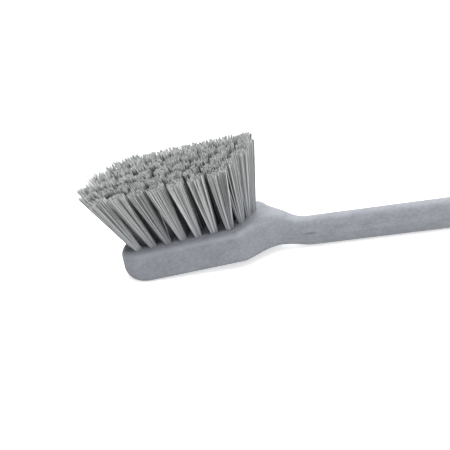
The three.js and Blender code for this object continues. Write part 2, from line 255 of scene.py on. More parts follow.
class HandleSizes(bpy.types.PropertyGroup):
    """Sizes of the handle."""

    neck_x: FloatProperty(
        name="Neck", description="Where the handle's height is given", default=0.104, unit="LENGTH")
    neck_z: FloatProperty(
        name="Neck Height", description="Height of the handle's axis there", default=0.0005,
        unit="LENGTH")
    diameter: FloatProperty(
        name="Diameter", description="Thickness of the grip", default=0.022, unit="LENGTH")
    slope: FloatProperty(
        name="Slope", description="Angle of the handle away from the bristles",
        default=math.radians(4.1), unit="ROTATION")
    end_x: FloatProperty(
        name="End", description="Place of the handle's end", default=0.43, unit="LENGTH")
    end_rounding: FloatProperty(
        name="End Rounding", description="Length of the rounded end", default=0.009, unit="LENGTH")
    tip: FloatProperty(
        name="Tip Diameter", description="Flat left at the handle's end", default=0.006,
        unit="LENGTH")
    band: FloatProperty(
        name="Parting Band", description="Narrow flat along the parting line", default=0.0006,
        unit="LENGTH")
    ridge: FloatProperty(
        name="Parting Ridge", description="Height of the flash on the parting line",
        default=0.00016, unit="LENGTH")
    hang_hole: FloatProperty(
        name="Hang Hole", description="Diameter of the hanging hole", default=0.009, unit="LENGTH")
    hang_from_end: FloatProperty(
        name="Hang Hole From End", description="Distance of the hole from the end", default=0.018,
        unit="LENGTH")


class TuftSizes(bpy.types.PropertyGroup):
    """Sizes of the tufts and their filaments."""

    pitch_toe: FloatProperty(
        name="Row Pitch at Toe", description="Distance between rows at the toe", default=0.0099,
        unit="LENGTH")
    pitch_heel: FloatProperty(
        name="Row Pitch at Heel", description="Distance between rows at the heel", default=0.0085,
        unit="LENGTH")
    outer_count: IntProperty(name="Outer Tufts", description="Tufts in an outer row", default=7)
    outer_base: FloatVectorProperty(
        name="Outer Row", description="First and last tuft of an outer row", size=2,
        default=(-0.0411, 0.0404), unit="LENGTH")
    near_outer_tips: FloatVectorProperty(
        name="Near Outer Tips", description="First and last tip of the near outer row", size=2,
        default=(-0.0472, 0.056), unit="LENGTH")
    far_outer_tips: FloatVectorProperty(
        name="Far Outer Tips", description="First and last tip of the far outer row", size=2,
        default=(-0.056, 0.054), unit="LENGTH")
    inner_count: IntProperty(name="Inner Tufts", description="Tufts in an inner row", default=9)
    near_inner_base: FloatVectorProperty(
        name="Near Inner Row", description="First and last tuft of the near inner row", size=2,
        default=(-0.051, 0.0468), unit="LENGTH")
    near_inner_tips: FloatVectorProperty(
        name="Near Inner Tips", description="First and last tip of the near inner row", size=2,
        default=(-0.064, 0.0595), unit="LENGTH")
    far_inner_base: FloatVectorProperty(
        name="Far Inner Row", description="First and last tuft of the far inner row", size=2,
        default=(-0.0523, 0.0502), unit="LENGTH")
    far_inner_tips: FloatVectorProperty(
        name="Far Inner Tips", description="First and last tip of the far inner row", size=2,
        default=(-0.069, 0.0625), unit="LENGTH")
    middle_count: IntProperty(name="Middle Tufts", description="Tufts in the middle row", default=9)
    middle_base: FloatVectorProperty(
        name="Middle Row", description="First and last tuft of the middle row", size=2,
        default=(-0.0545, 0.0492), unit="LENGTH")
    middle_tips: FloatVectorProperty(
        name="Middle Tips", description="First and last tip of the middle row", size=2,
        default=(-0.0725, 0.0633), unit="LENGTH")
    length: FloatProperty(
        name="Bristle Length", description="Height of the trim over the face", default=0.053,
        unit="LENGTH")
    near_flare: FloatProperty(
        name="Near Flare", description="Lean of the near rows for each length from the middle",
        default=0.82)
    far_flare: FloatProperty(
        name="Far Flare", description="Lean of the far rows for each length from the middle",
        default=0.88)
    hole_lean: FloatProperty(
        name="Hole Lean", description="Share of the lean that the drilled holes have", default=0.6)
    hole: FloatProperty(
        name="Hole Diameter", description="Diameter of a tuft's hole", default=0.0066,
        unit="LENGTH")
    back_wall: FloatProperty(
        name="Back Wall", description="Plastic left under a hole", default=0.009, unit="LENGTH")
    root_depth: FloatProperty(
        name="Root Depth", description="Depth of the filaments in their hole", default=0.008,
        unit="LENGTH")
    filaments: IntProperty(name="Filaments", description="Filaments in a tuft", default=116)
    filament: FloatProperty(
        name="Filament Diameter", description="Thickness of a filament", default=0.0006,
        unit="LENGTH")
    tip_spread: FloatVectorProperty(
        name="Tip Spread", description="Reach of a tuft's tip along and across the brush", size=2,
        default=(0.0071, 0.0072), unit="LENGTH")
    clumps: IntProperty(
        name="Clumps", description="Bunches that the filaments of a tuft gather in", default=64)
    gather: FloatProperty(
        name="Gather", description="How far the tips draw to their bunch", default=0.35)
    free_toe: FloatVectorProperty(
        name="Free Toe", description="Reach of the first near and far tufts to the toe", size=2,
        default=(1.3, 1.6))
    free_heel: FloatProperty(
        name="Free Heel", description="Reach of the last tufts to the heel", default=1.22)
    free_far: FloatProperty(
        name="Free Far", description="Reach of the far tufts away from the middle", default=1.3)
    # Strength of the painted shade on the filaments that face other tufts
    shade: FloatProperty(
        name="Shade", description="Darker tone of the filaments that face other tufts",
        default=0.66)


class FinishColours(bpy.types.PropertyGroup):
    """Colours of the finishes."""

    moulding: FloatVectorProperty(
        name="Moulding", description="Foamed plastic", subtype="COLOR",
        default=(0.150, 0.160, 0.182))
    moulding_light: FloatVectorProperty(
        name="Moulding Light", description="Pale flow marks", subtype="COLOR",
        default=(0.235, 0.247, 0.272))
    filament_root: FloatVectorProperty(
        name="Filament Root", description="Filament near the face", subtype="COLOR",
        default=(0.362, 0.374, 0.398))
    filament: FloatVectorProperty(
        name="Filament", description="Filament along its run", subtype="COLOR",
        default=(0.358, 0.368, 0.366))
    # Darker tone at the cut ends: painted shade on the tops of the tufts
    filament_tip: FloatVectorProperty(
        name="Filament Tip", description="Cut ends at the trim", subtype="COLOR",
        default=(0.25, 0.258, 0.256))
    wire: FloatVectorProperty(
        name="Wire", description="Anchor wire", subtype="COLOR", default=(0.56, 0.44, 0.2))
    floor: FloatVectorProperty(
        name="Floor", description="Plain pale floor", subtype="COLOR",
        default=(0.8, 0.8, 0.8))


class ViewValues(bpy.types.PropertyGroup):
    """Camera position."""

    azimuth: FloatProperty(
        name="Azimuth", description="Turn towards the handle", default=math.radians(30.29),
        unit="ROTATION")
    elevation: FloatProperty(
        name="Elevation", description="Height over the face", default=math.radians(20.96),
        unit="ROTATION")
    roll: FloatProperty(
        name="Roll", description="Turn of the picture", default=math.radians(23.54),
        unit="ROTATION")
    distance: FloatProperty(
        name="Distance", description="Distance from the aim", default=1.07676, unit="LENGTH")
    aim: FloatVectorProperty(
        name="Aim", description="Point in the middle of the picture",
        default=(0.02751, 0.00014, 0.01933), subtype="XYZ")
    lens: FloatProperty(name="Lens", description="Focal length in millimetres", default=112.0)


# Working helpers

def deselect():
    """Back to object mode, with nothing selected."""
    if bpy.context.object is not None and bpy.context.object.mode != "OBJECT":
        bpy.ops.object.mode_set(mode="OBJECT")
    bpy.ops.object.select_all(action="DESELECT")


def pick(piece):
    deselect()
    piece.select_set(True)
    bpy.context.view_layer.objects.active = piece


def edit(piece, kind="VERT", action="DESELECT"):
    pick(piece)
    bpy.ops.object.mode_set(mode="EDIT")
    bpy.ops.mesh.select_mode(type=kind)
    bpy.ops.mesh.select_all(action=action)
    return bmesh.from_edit_mesh(piece.data)


def name_piece(piece, name):
    piece.name = name
    piece.data.name = name
    return piece


def lerp(a, b, t):
    return a + (b - a) * t


def ease(x, start, end):
    t = min(max((x - start) / (end - start), 0.0), 1.0)
    return t * t * (3.0 - 2.0 * t)


def seat(piece, slot, *nodes):
    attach(piece, "root")
    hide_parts(*nodes)


# Sections of the moulding

def half_section(back, face, back_radius, face_radius, draft, hold, handle):
    """Points from the back to the face: distance inside the back's edge, and height."""
    points = []

    def add(inset, z):
        points.append((inset + (z - back) * math.tan(draft), z))

    add(back_radius + hold, back)
    for k in range(ARC_STEPS + 1):
        turn = math.pi / 2 * (k / ARC_STEPS - 1)
        add(back_radius * (1 - math.cos(turn)), back + back_radius * (1 + math.sin(turn)))
    add(-handle.ridge, back + back_radius + handle.band * RIDGE_CREST)
    add(0.0, back + back_radius + handle.band * RIDGE_FOOT)
    for k in range(ARC_STEPS + 1):
        turn = math.pi / 2 * k / ARC_STEPS
        add(face_radius * (1 - math.cos(turn)), face - face_radius * (1 - math.sin(turn)))
    add(face_radius + hold, face)
    return points


def ring_at(x, half_width, normal, section):
    """The near half of a section, then the far half as its mirror."""
    near = [(x - normal[0] * inset, -max(half_width - normal[1] * inset, 0.0), z)
            for inset, z in section]
    far = [(px, -py, pz) for px, py, pz in reversed(near)]
    return near + far


def bent_line(x, corners, last_slope):
    """Straight runs joined by soft bends; a corner is its place, value and reach of bend."""
    slopes = [(b[1] - a[1]) / (b[0] - a[0]) for a, b in zip(corners, corners[1:])]
    slopes.append(last_slope)
    value = corners[0][1] + slopes[0] * (x - corners[0][0])
    for (at, _, bend), before, after in zip(corners[1:], slopes, slopes[1:]):
        gone = x - at
        soft = max(gone, 0.0) if abs(gone) >= bend else (gone + bend) ** 2 / (4 * bend)
        value += (after - before) * soft
    return value


def axis_height(handle, x):
    return handle.neck_z - math.tan(handle.slope) * (x - handle.neck_x)


def handle_ring(handle, x, radius):
    corner = radius - handle.band / 2
    z = axis_height(handle, x)
    section = half_section(z - radius, z + radius, corner, corner, 0.0, handle.band / 4, handle)
    return ring_at(x, radius, (0.0, 1.0), section)


def toe_ring(block, handle, turn):
    power = 2 / block.toe_fullness
    nose = ease(math.cos(turn), 0.0, 1.0)
    section = half_section(
        0.0,
        block.thickness,
        lerp(block.back_edge, block.toe_back_edge, nose),
        block.face_edge,
        lerp(block.draft, block.toe_draft, nose),
        HOLD_STRIP,
        handle,
    )
    x = block.toe_x + block.toe_length * (1 - math.cos(turn) ** power)
    half = block.width / 2 * math.sin(turn) ** power
    along = math.cos(turn) ** (2 - power) / block.toe_length
    across = math.sin(turn) ** (2 - power) / (block.width / 2)
    size = math.hypot(along, across)
    return ring_at(x, half, (-along / size, across / size), section)


def block_ring(block, shoulder, handle, x):
    grip = handle.diameter / 2
    corner = grip - handle.band / 2
    fall = -math.tan(handle.slope)
    toe_end = block.toe_x + block.toe_length
    bend = shoulder.slope_bend
    side = ((toe_end, block.width / 2, 0.0),
            (shoulder.corner_x, shoulder.corner_width / 2, shoulder.corner_bend),
            (shoulder.gusset_x, shoulder.gusset_width / 2, shoulder.waist_bend),
            (shoulder.waist_x, grip, shoulder.waist_bend))
    face = ((toe_end, block.thickness, 0.0),
            (shoulder.face_end, block.thickness, bend),
            (shoulder.face_foot, axis_height(handle, shoulder.face_foot) + grip, bend))
    back = ((toe_end, 0.0, 0.0),
            (shoulder.back_end, 0.0, bend),
            (shoulder.back_foot, axis_height(handle, shoulder.back_foot) - grip, bend))
    upright = ease(x, *shoulder.upright)
    section = half_section(
        bent_line(x, back, fall),
        bent_line(x, face, fall),
        lerp(block.back_edge, corner, ease(x, *shoulder.back_round)),
        lerp(block.face_edge, corner, ease(x, *shoulder.face_round)),
        lerp(block.draft, 0.0, upright),
        lerp(HOLD_STRIP, handle.band / 4, upright),
        handle,
    )
    return ring_at(x, bent_line(x, side, 0.0), (0.0, 1.0), section)


def moulding_rings(block, shoulder, handle):
    """Rings from the handle's end to the toe."""
    rings = []
    straight_end = handle.end_x - handle.end_rounding
    shoulder_end = shoulder.back_foot + shoulder.slope_bend
    shoulder_start = shoulder.corner_x - shoulder.corner_bend
    for k in range(END_STEPS, -1, -1):
        turn = math.pi / 2 * k / END_STEPS
        radius = lerp(handle.tip / 2, handle.diameter / 2, math.cos(turn))
        x = straight_end + handle.end_rounding * math.sin(turn)
        rings.append(handle_ring(handle, x, radius))
    for k in range(1, GRIP_STEPS):
        x = lerp(straight_end, shoulder_end, k / GRIP_STEPS)
        rings.append(handle_ring(handle, x, handle.diameter / 2))
    for k in range(SHOULDER_STEPS + 1):
        x = lerp(shoulder_end, shoulder_start, k / SHOULDER_STEPS)
        rings.append(block_ring(block, shoulder, handle, x))
    for k in range(1, SIDE_STEPS):
        x = lerp(shoulder_start, block.toe_x + block.toe_length, k / SIDE_STEPS)
        rings.append(block_ring(block, shoulder, handle, x))
    for k in range(TOE_STEPS, -1, -1):
        rings.append(toe_ring(block, handle, math.pi / 2 * k / TOE_STEPS))
    return rings


def skin_rings(name, rings):
    """A circle pulled from ring to ring along the brush."""
    deselect()
    bpy.ops.mesh.primitive_circle_add(vertices=len(rings[0]), fill_type="NOTHING")
    piece = name_piece(bpy.context.object, name)
    bm = edit(piece, "EDGE", "SELECT")
    bm.verts.ensure_lookup_table()
    place = {}
    for k, point in enumerate(rings[0]):
        bm.verts[k].co = point
        place[tuple(bm.verts[k].co)] = k
    bpy.ops.mesh.edge_face_add()
    bm = bmesh.from_edit_mesh(piece.data)
    for face in bm.faces:
        face.select = False
    for edge in bm.edges:
        edge.select = True
    for ring in rings[1:]:
        bpy.ops.mesh.extrude_edges_move()
        bm = bmesh.from_edit_mesh(piece.data)
        moved = {}
        for vert in bm.verts:
            if vert.select:
                k = place[tuple(vert.co)]
                vert.co = ring[k]
                moved[tuple(vert.co)] = k
        place = moved
    bpy.ops.mesh.select_all(action="SELECT")
    bpy.ops.mesh.remove_doubles(threshold=MERGE_DISTANCE)
    bpy.ops.mesh.dissolve_degenerate(threshold=LEAST_EDGE)
    bpy.ops.mesh.select_all(action="SELECT")
    bpy.ops.mesh.normals_make_consistent(inside=False)
    deselect()
    return piece


# Tuft pattern and holes

def tuft_places(block, tufts):
    """Row, base and lean of every tuft."""
    rows = (
        (-OUTER_ROW, tufts.outer_count, tufts.outer_base, tufts.near_outer_tips, tufts.near_flare),
        (-1, tufts.inner_count, tufts.near_inner_base, tufts.near_inner_tips, tufts.near_flare),
        (0, tufts.middle_count, tufts.middle_base, tufts.middle_tips, 0.0),
        (1, tufts.inner_count, tufts.far_inner_base, tufts.far_inner_tips, tufts.far_flare),
        (OUTER_ROW, tufts.outer_count, tufts.outer_base, tufts.far_outer_tips, tufts.far_flare),
    )
    first, last = tufts.outer_base
    places = []
    for row, count, base, tips, flare in rows:
        for k in range(count):
            along = k / (count - 1)
            x = lerp(*base, along)
            y = row * lerp(tufts.pitch_toe, tufts.pitch_heel, (x - first) / (last - first))
            lean = Vector((lerp(*tips, along) - x, flare * y, tufts.length))
            places.append((row, Vector((x, y, block.thickness)), lean))
    return places


def drilled(tufts, lean):
    """Direction of a tuft's hole, out of the face."""
    return Vector((lean.x * tufts.hole_lean, lean.y * tufts.hole_lean, lean.z)).normalized()


def join_copies(source, matrices, name):
    """Copies of one shape, each with its own mesh, joined into one piece."""
    copies = []
    for matrix in matrices:
        copy = source.copy()
        copy.data = source.data.copy()
        copy.data.transform(matrix)
        bpy.context.collection.objects.link(copy)
        copies.append(copy)
    bpy.data.objects.remove(source)
    deselect()
    for copy in copies:
        copy.select_set(True)
    bpy.context.view_layer.objects.active = copies[0]
    bpy.ops.object.join()
    return name_piece(bpy.context.object, name)


def cut(piece, cutter):
    pick(piece)
    mod = piece.modifiers.new("Cut", "BOOLEAN")
    mod.operation = "DIFFERENCE"
    mod.solver = "EXACT"
    mod.object = cutter
    bpy.ops.object.modifier_apply(modifier=mod.name)
    bpy.data.objects.remove(cutter)


def drill(radius, depth):
    """One drilled hole to cut with: a straight bore with a cone at its end."""
    deselect()
    bpy.ops.mesh.primitive_cylinder_add(
        vertices=HOLE_SIDES, radius=radius, depth=depth + DRILL_CLEARANCE)
    bore = bpy.context.object
    bm = edit(bore, "FACE")
    for vert in bm.verts:
        vert.co.z += (DRILL_CLEARANCE - depth) / 2
    for face in bm.faces:
        face.select = face.normal.z < FACING_DOWN
    bpy.ops.mesh.extrude_region_move(
        TRANSFORM_OT_translate={"value": (0, 0, -radius * DRILL_CONE)})
    bpy.ops.transform.resize(value=(DRILL_TIP, DRILL_TIP, 1.0))
    deselect()
    return bore


def hang_cutter(handle):
    """A straight hole with rounded mouths, along the height of the handle."""
    deselect()
    x = handle.end_x - handle.hang_from_end
    z = axis_height(handle, x)
    bpy.ops.mesh.primitive_cylinder_add(
        vertices=HANG_HOLE_SIDES,
        radius=handle.hang_hole / 2,
        depth=2 * (handle.diameter / 2 - HANG_MOUTH),
        location=(x, 0, z),
    )
    hole = bpy.context.object
    bpy.ops.object.transform_apply(location=True)
    for side in (1, -1):
        for rise, grow in HANG_MOUTH_STEPS:
            bm = edit(hole, "FACE")
            top = max(side * v.co.z for v in bm.verts)
            for face in bm.faces:
                face.select = all(abs(side * v.co.z - top) < MERGE_DISTANCE for v in face.verts)
            bpy.ops.mesh.extrude_region_move(
                TRANSFORM_OT_translate={"value": (0, 0, side * rise)})
            bpy.ops.transform.resize(value=(grow, grow, 1.0), center_override=(x, 0, z))
    deselect()
    return hole


def gate_cutter(handle):
    """The shallow oval scar that the gate leaves beside the parting line."""
    deselect()
    z = axis_height(handle, GATE_X) + GATE_RISE
    bpy.ops.mesh.primitive_uv_sphere_add(
        segments=GATE_SIDES, ring_count=GATE_SIDES // 2, radius=GATE_RADIUS, location=(0, 0, 0))
    scar = bpy.context.object
    edit(scar, action="SELECT")
    bpy.ops.transform.resize(value=GATE_STRETCH)
    deselect()
    tilt = Matrix.Rotation(handle.slope, 4, "Y")
    scar.data.transform(Matrix.Translation((GATE_X, -handle.diameter / 2, z)) @ tilt)
    return scar


# Filaments

def filament_template():
    """One straight filament of unit radius, one unit high for each stop, closed at both ends."""
    deselect()
    bpy.ops.mesh.primitive_circle_add(vertices=FILAMENT_SIDES, radius=1.0, fill_type="NGON")
    strand = bpy.context.object
    edit(strand, "EDGE", "SELECT")
    for _ in FILAMENT_STOPS:
        bpy.ops.mesh.extrude_edges_move(TRANSFORM_OT_translate={"value": (0, 0, 1.0)})
    bpy.ops.mesh.edge_face_add()
    bpy.ops.mesh.select_all(action="SELECT")
    bpy.ops.mesh.normals_make_consistent(inside=False)
    deselect()
    points = np.array([tuple(v.co) for v in strand.data.vertices])
    faces = [tuple(p.vertices) for p in strand.data.polygons]
    bpy.data.objects.remove(strand)
    return points, faces


def tuft_reach(row, first, last, tufts, rng):
    """How far a tuft fans to the toe, to the heel and away from the middle, for its free sides."""
    to_toe, to_heel, to_far = (rng.uniform(*REACH_RANGE) for _ in range(3))
    far_row = row == OUTER_ROW
    if first:
        to_toe = tufts.free_toe[row >= 0] + FIRST_TOE_STEP * max(row, 0)
    elif far_row:
        to_toe += FAR_ROW_TOE
    if last:
        to_heel = tufts.free_heel
    elif far_row:
        to_heel += FAR_ROW_HEEL
    if first and row >= 0:
        to_far = tufts.free_far + (CORNER_FAR if far_row else FIRST_FAR)
    elif far_row and not last:
        to_far = tufts.free_far
    return to_toe, to_heel, to_far


def on_disc(k, count, turn, grow=1.0, sway=0.0):
    """One of a number of points spread evenly over a disc of unit radius."""
    around = k * GOLDEN_ANGLE + turn + sway
    radius = math.sqrt((k + 0.5) / count) * grow
    return Vector((math.cos(around), math.sin(around), 0.0)) * radius


def filament_paths(base, lean, tufts, reach, rng):
    """Root, foot, tip, bow, tone and place in the tuft of each filament of one tuft."""
    paths = []
    axis = drilled(tufts, lean)
    packed = tufts.hole / 2 - tufts.filament * PACKING
    turn = rng.uniform(0, math.tau)
    to_toe, to_heel, to_far = reach
    fanned = to_far > FANNED_OVER
    gather = tufts.gather / to_far ** FAN_POWER
    bunches = []
    for k in range(tufts.clumps):
        grow = rng.uniform(*BUNCH_RANGE)
        sway = rng.uniform(-BUNCH_SWAY, BUNCH_SWAY)
        bunches.append((on_disc(k, tufts.clumps, turn, grow, sway), rng.gauss(0.0, BUNCH_TONE)))
    for k in range(tufts.filaments):
        out = on_disc(k, tufts.filaments, turn)
        foot = base + out * packed
        root = foot - axis * tufts.root_depth
        bunch, tone = min(bunches, key=lambda b: (b[0] - out).length_squared)
        end = out.lerp(bunch, gather * rng.uniform(*GATHER_RANGE))
        if fanned:
            x, y = end.x, end.y
            end = Vector((x * (1 + SQUARENESS * y ** 2), y * (1 + SQUARENESS * x ** 2), 0.0))
        end.x *= tufts.tip_spread[0] * (to_toe if end.x < 0 else to_heel)
        end.y *= tufts.tip_spread[1] * (to_far if end.y > 0 else 1.0)
        head = base + lean + end
        stray = TIP_STRAY
        if rng.random() < LOOSE_SHARE:
            stray = FANNED_STRAY if fanned else LOOSE_STRAY
        head += Vector((rng.gauss(0, stray), rng.gauss(0, stray), 0.0))
        head.z += rng.uniform(*TRIM_RANGE) * (FANNED_TRIM if fanned else 1.0)
        if rng.random() < SHORT_SHARE:
            head = foot.lerp(head, rng.uniform(*SHORT_RANGE))
        bow = Vector((rng.gauss(0, BOW), rng.gauss(0, BOW), 0.0)) + out * BULGE
        paths.append((root, foot, head, bow, tone + rng.gauss(0.0, OWN_TONE), out))
    return paths


def shelter(out, free):
    """Share of painted shade on a filament: one on the side of a tuft that faces other tufts,
    nothing on its free side.
    """
    open_to = max((side * way for side, way in zip(out, free) if way), default=-1.0)
    return min(1.0, max(0.0, SHELTER_EDGE - SHELTER_FALL * open_to))


def lay_filaments(name, places, tufts, rng):
    """All filaments of a group of tufts in one mesh, their run and tone kept as attributes."""
    template, faces = filament_template()
    level = np.rint(template[:, 2]).astype(int)
    runs = np.array([0.0, *FILAMENT_STOPS])[level]
    swell = (1.0 + TIP_SWELL * runs)[:, None]
    # Painted shade and painted light hold up to just under the trim and are gone at the cut ends
    below_trim = 1.0 - runs ** TRIM_POWER
    loosened = ROOT_TONE + (1.0 - ROOT_TONE) * np.minimum(1.0, runs / TONE_RISE)
    loosened *= 1.0 - TIP_CALM * runs ** TIP_CALM_POWER
    verts, polys, along, tone = [], [], [], []
    for k, (row, base, lean) in enumerate(places):
        first = k == 0 or places[k - 1][0] != row
        last = k == len(places) - 1 or places[k + 1][0] != row
        free = (last - first, (row == OUTER_ROW) - (row == -OUTER_ROW))
        tuft_tone = rng.uniform(-TUFT_TONE, TUFT_TONE)
        reach = tuft_reach(row, first, last, tufts, rng)
        for root, foot, head, bow, own_tone, out in filament_paths(base, lean, tufts, reach, rng):
            stops = [root]
            stops.extend(foot.lerp(head, t) + bow * (4 * t * (1 - t)) for t in FILAMENT_STOPS)
            stops = np.array([tuple(p) for p in stops])
            start = len(verts) * len(template)
            spin = rng.uniform(0, math.pi)
            radius = tufts.filament / 2 * rng.uniform(*THICKNESS_RANGE)
            c, s = math.cos(spin) * radius, math.sin(spin) * radius
            points = stops[level].copy()
            points[:, :2] += template[:, :2] @ np.array([[c, s], [-s, c]]) * swell
            verts.append(points)
            polys.extend(tuple(start + v for v in face) for face in faces)
            along.append(runs)
            # Painted shade on filaments that face other tufts, and painted light on the first tuft
            # of each row
            painted_shade_and_light = shelter(out, free) * tufts.shade - TOE_GLOW * first
            tone.append(tuft_tone + own_tone * loosened - painted_shade_and_light * below_trim)
    mesh = bpy.data.meshes.new(name)
    mesh.from_pydata(np.concatenate(verts).tolist(), [], polys)
    for key, values in (("along", along), ("tone", tone)):
        layer = mesh.attributes.new(key, "FLOAT", "POINT")
        layer.data.foreach_set("value", np.concatenate(values))
    smooth = [len(set(level[list(face)])) > 1 for face in faces]
    mesh.polygons.foreach_set("use_smooth", smooth * (len(polys) // len(faces)))
    mesh.update()
    piece = bpy.data.objects.new(name, mesh)
    bpy.context.collection.objects.link(piece)
    return piece


# Finishes

def new_material(name):
    material = bpy.data.materials.new(name)
    material.use_nodes = True
    nodes = material.node_tree.nodes
    return material, nodes, nodes["Principled BSDF"]


def fill(node, values):
    """Give each named socket of a node a constant, or link it to another node's socket."""
    for name, value in values.items():
        socket = node.inputs[name]
        if isinstance(value, bpy.types.NodeSocket):
            socket.id_data.links.new(value, socket)
        else:
            socket.default_value = value


def tinted(colour, factor=1.0):
    """An opaque colour, darker or paler by a factor."""
    return (*(v * factor for v in colour), 1.0)


def object_place(nodes):
    return nodes.new("ShaderNodeTexCoord").outputs["Object"]


def attribute(nodes, name):
    node = nodes.new("ShaderNodeAttribute")
    node.attribute_name = name
    return node.outputs["Fac"]


def calculate(nodes, operation, *terms):
    """A sum of one kind, where a term is a number or the socket that gives it."""
    node = nodes.new("ShaderNodeMath")
    node.operation = operation
    fill(node, dict(enumerate(terms)))
    return node.outputs["Value"]


def map_range(nodes, value, before=(0.0, 1.0), after=(0.0, 1.0)):
    """A value carried from one span to another."""
    node = nodes.new("ShaderNodeMapRange")
    fill(node, {
        "Value": value,
        "From Min": before[0],
        "From Max": before[1],
        "To Min": after[0],
        "To Max": after[1],
    })
    return node.outputs["Result"]


def ramp(nodes, value, low, high, low_at=0.35, high_at=0.68):
    node = nodes.new("ShaderNodeValToRGB")
    fill(node, {"Fac": value})
    for element, colour, place in zip(node.color_ramp.elements, (low, high), (low_at, high_at)):
        element.position = place
        element.color = colour
    return node.outputs["Color"]


def mix_colour(nodes, factor, a, b):
    mix = nodes.new("ShaderNodeMix")
    mix.data_type = "RGBA"
    fill(mix, {"Factor": factor, MIX_A: a, MIX_B: b})
    return mix.outputs[MIX_RESULT]


def bumped(nodes, height, strength, distance):
    bump = nodes.new("ShaderNodeBump")
    fill(bump, {"Height": height, "Strength": strength, "Distance": distance})
    return bump.outputs["Normal"]


def grain_group():
    """Shared surface grain: a soft mottle, a fine speckle and a height."""
    if "surface_grain" in bpy.data.node_groups:
        return bpy.data.node_groups["surface_grain"]
    group = bpy.data.node_groups.new("surface_grain", "ShaderNodeTree")
    face = group.interface
    face.new_socket("Vector", in_out="INPUT", socket_type="NodeSocketVector")
    for name in ("Mottle Scale", "Speckle Scale", "Grain Scale"):
        face.new_socket(name, in_out="INPUT", socket_type="NodeSocketFloat")
    for name in ("Mottle", "Speckle", "Height"):
        face.new_socket(name, in_out="OUTPUT", socket_type="NodeSocketFloat")
    nodes = group.nodes
    start = nodes.new("NodeGroupInput")
    end = nodes.new("NodeGroupOutput")
    results = {}
    for name, detail, rough in (("Mottle", 4.0, 0.6), ("Speckle", 3.0, 0.65), ("Grain", 2.0, 0.5)):
        noise = nodes.new("ShaderNodeTexNoise")
        fill(noise, {
            "Vector": start.outputs["Vector"],
            "Scale": start.outputs[name + " Scale"],
            "Detail": detail,
            "Roughness": rough,
        })
        results[name] = noise.outputs["Fac"]
    grain = results.pop("Grain")
    height = calculate(nodes, "MULTIPLY_ADD", results["Speckle"], SPECKLE_HEIGHT, grain)
    fill(end, {**results, "Height": height})
    return group


def add_grain(nodes, stretch, mottle, speckle, grain):
    """The results of the shared grain, at scales of its own."""
    mapping = nodes.new("ShaderNodeMapping")
    fill(mapping, {"Vector": object_place(nodes), "Scale": stretch})
    group = nodes.new("ShaderNodeGroup")
    group.node_tree = grain_group()
    fill(group, {
        "Vector": mapping.outputs["Vector"],
        "Mottle Scale": mottle,
        "Speckle Scale": speckle,
        "Grain Scale": grain,
    })
    return group.outputs


def paint_edge_highlight(piece, block, shoulder):
    """Keep a painted highlight on the block's rounded face edge, chosen by the slope of the surface
    there.
    """
    highlight = []
    for v in piece.data.vertices:
        on_block = 1.0 - ease(v.co.x, shoulder.corner_x, shoulder.face_end)
        slope = max(0.0, 1.0 - abs(v.normal.z - HIGHLIGHT_SLOPE) / HIGHLIGHT_REACH)
        below = v.co.z < block.thickness - block.face_edge
        highlight.append(0.0 if below else on_block * slope)
    layer = piece.data.attributes.new("edge_highlight", "FLOAT", "POINT")
    layer.data.foreach_set("value", highlight)


def tuft_field_shade(nodes, block, tufts):
    """Mask of the face among the tufts, where painted shade makes it darker than the rest."""
    split = nodes.new("ShaderNodeSeparateXYZ")
    fill(split, {"Vector": object_place(nodes)})
    toe, heel = tufts.middle_base
    length, width = (heel - toe) / 2, 2 * tufts.pitch_heel
    mask = 1.0
    for axis, centre, none, full in (
        ("X", (toe + heel) / 2, length + FIELD_MARGIN, length - FIELD_FADE[0]),
        ("Y", 0.0, width + FIELD_MARGIN, width - FIELD_FADE[1]),
        ("Z", 0.0, block.thickness / 2, block.thickness),
    ):
        away = calculate(nodes, "SUBTRACT", split.outputs[axis], centre)
        away = calculate(nodes, "ABSOLUTE", away)
        mask = calculate(nodes, "MULTIPLY", mask, map_range(nodes, away, (none, full)))
    return mask


def moulding_material(colours, block, tufts):
    material, nodes, shader = new_material("foamed_plastic")
    grain = add_grain(nodes, (0.6, 1.0, 1.0), 110.0, 560.0, 2400.0)
    plain, light = colours.moulding, colours.moulding_light
    flow = ramp(nodes, grain["Mottle"], tinted(plain), tinted(light), 0.3, 0.78)
    dull, pale = tinted(plain, SPECK_DULL), tinted(light, SPECK_PALE)
    specks = ramp(nodes, grain["Speckle"], dull, pale, 0.3, 0.74)
    base = mix_colour(nodes, SPECK_SHARE, flow, specks)
    # Painted highlight on the rounded face edge, broken up by the mottle
    edge_lit = calculate(nodes, "MULTIPLY", attribute(nodes, "edge_highlight"), grain["Mottle"])
    base = mix_colour(nodes, edge_lit, base, tinted(light, HIGHLIGHT_PALE))
    # Painted shade on the face among the tufts
    field_shade = tuft_field_shade(nodes, block, tufts)
    fill(shader, {
        "Base Color": mix_colour(nodes, field_shade, base, tinted(plain, FIELD_SHADE_TONE)),
        "Roughness": map_range(nodes, grain["Speckle"], after=(0.6, 0.76)),
        "Specular IOR Level": 0.5,
        "Normal": bumped(nodes, grain["Height"], 0.22, 0.00025),
    })
    return material


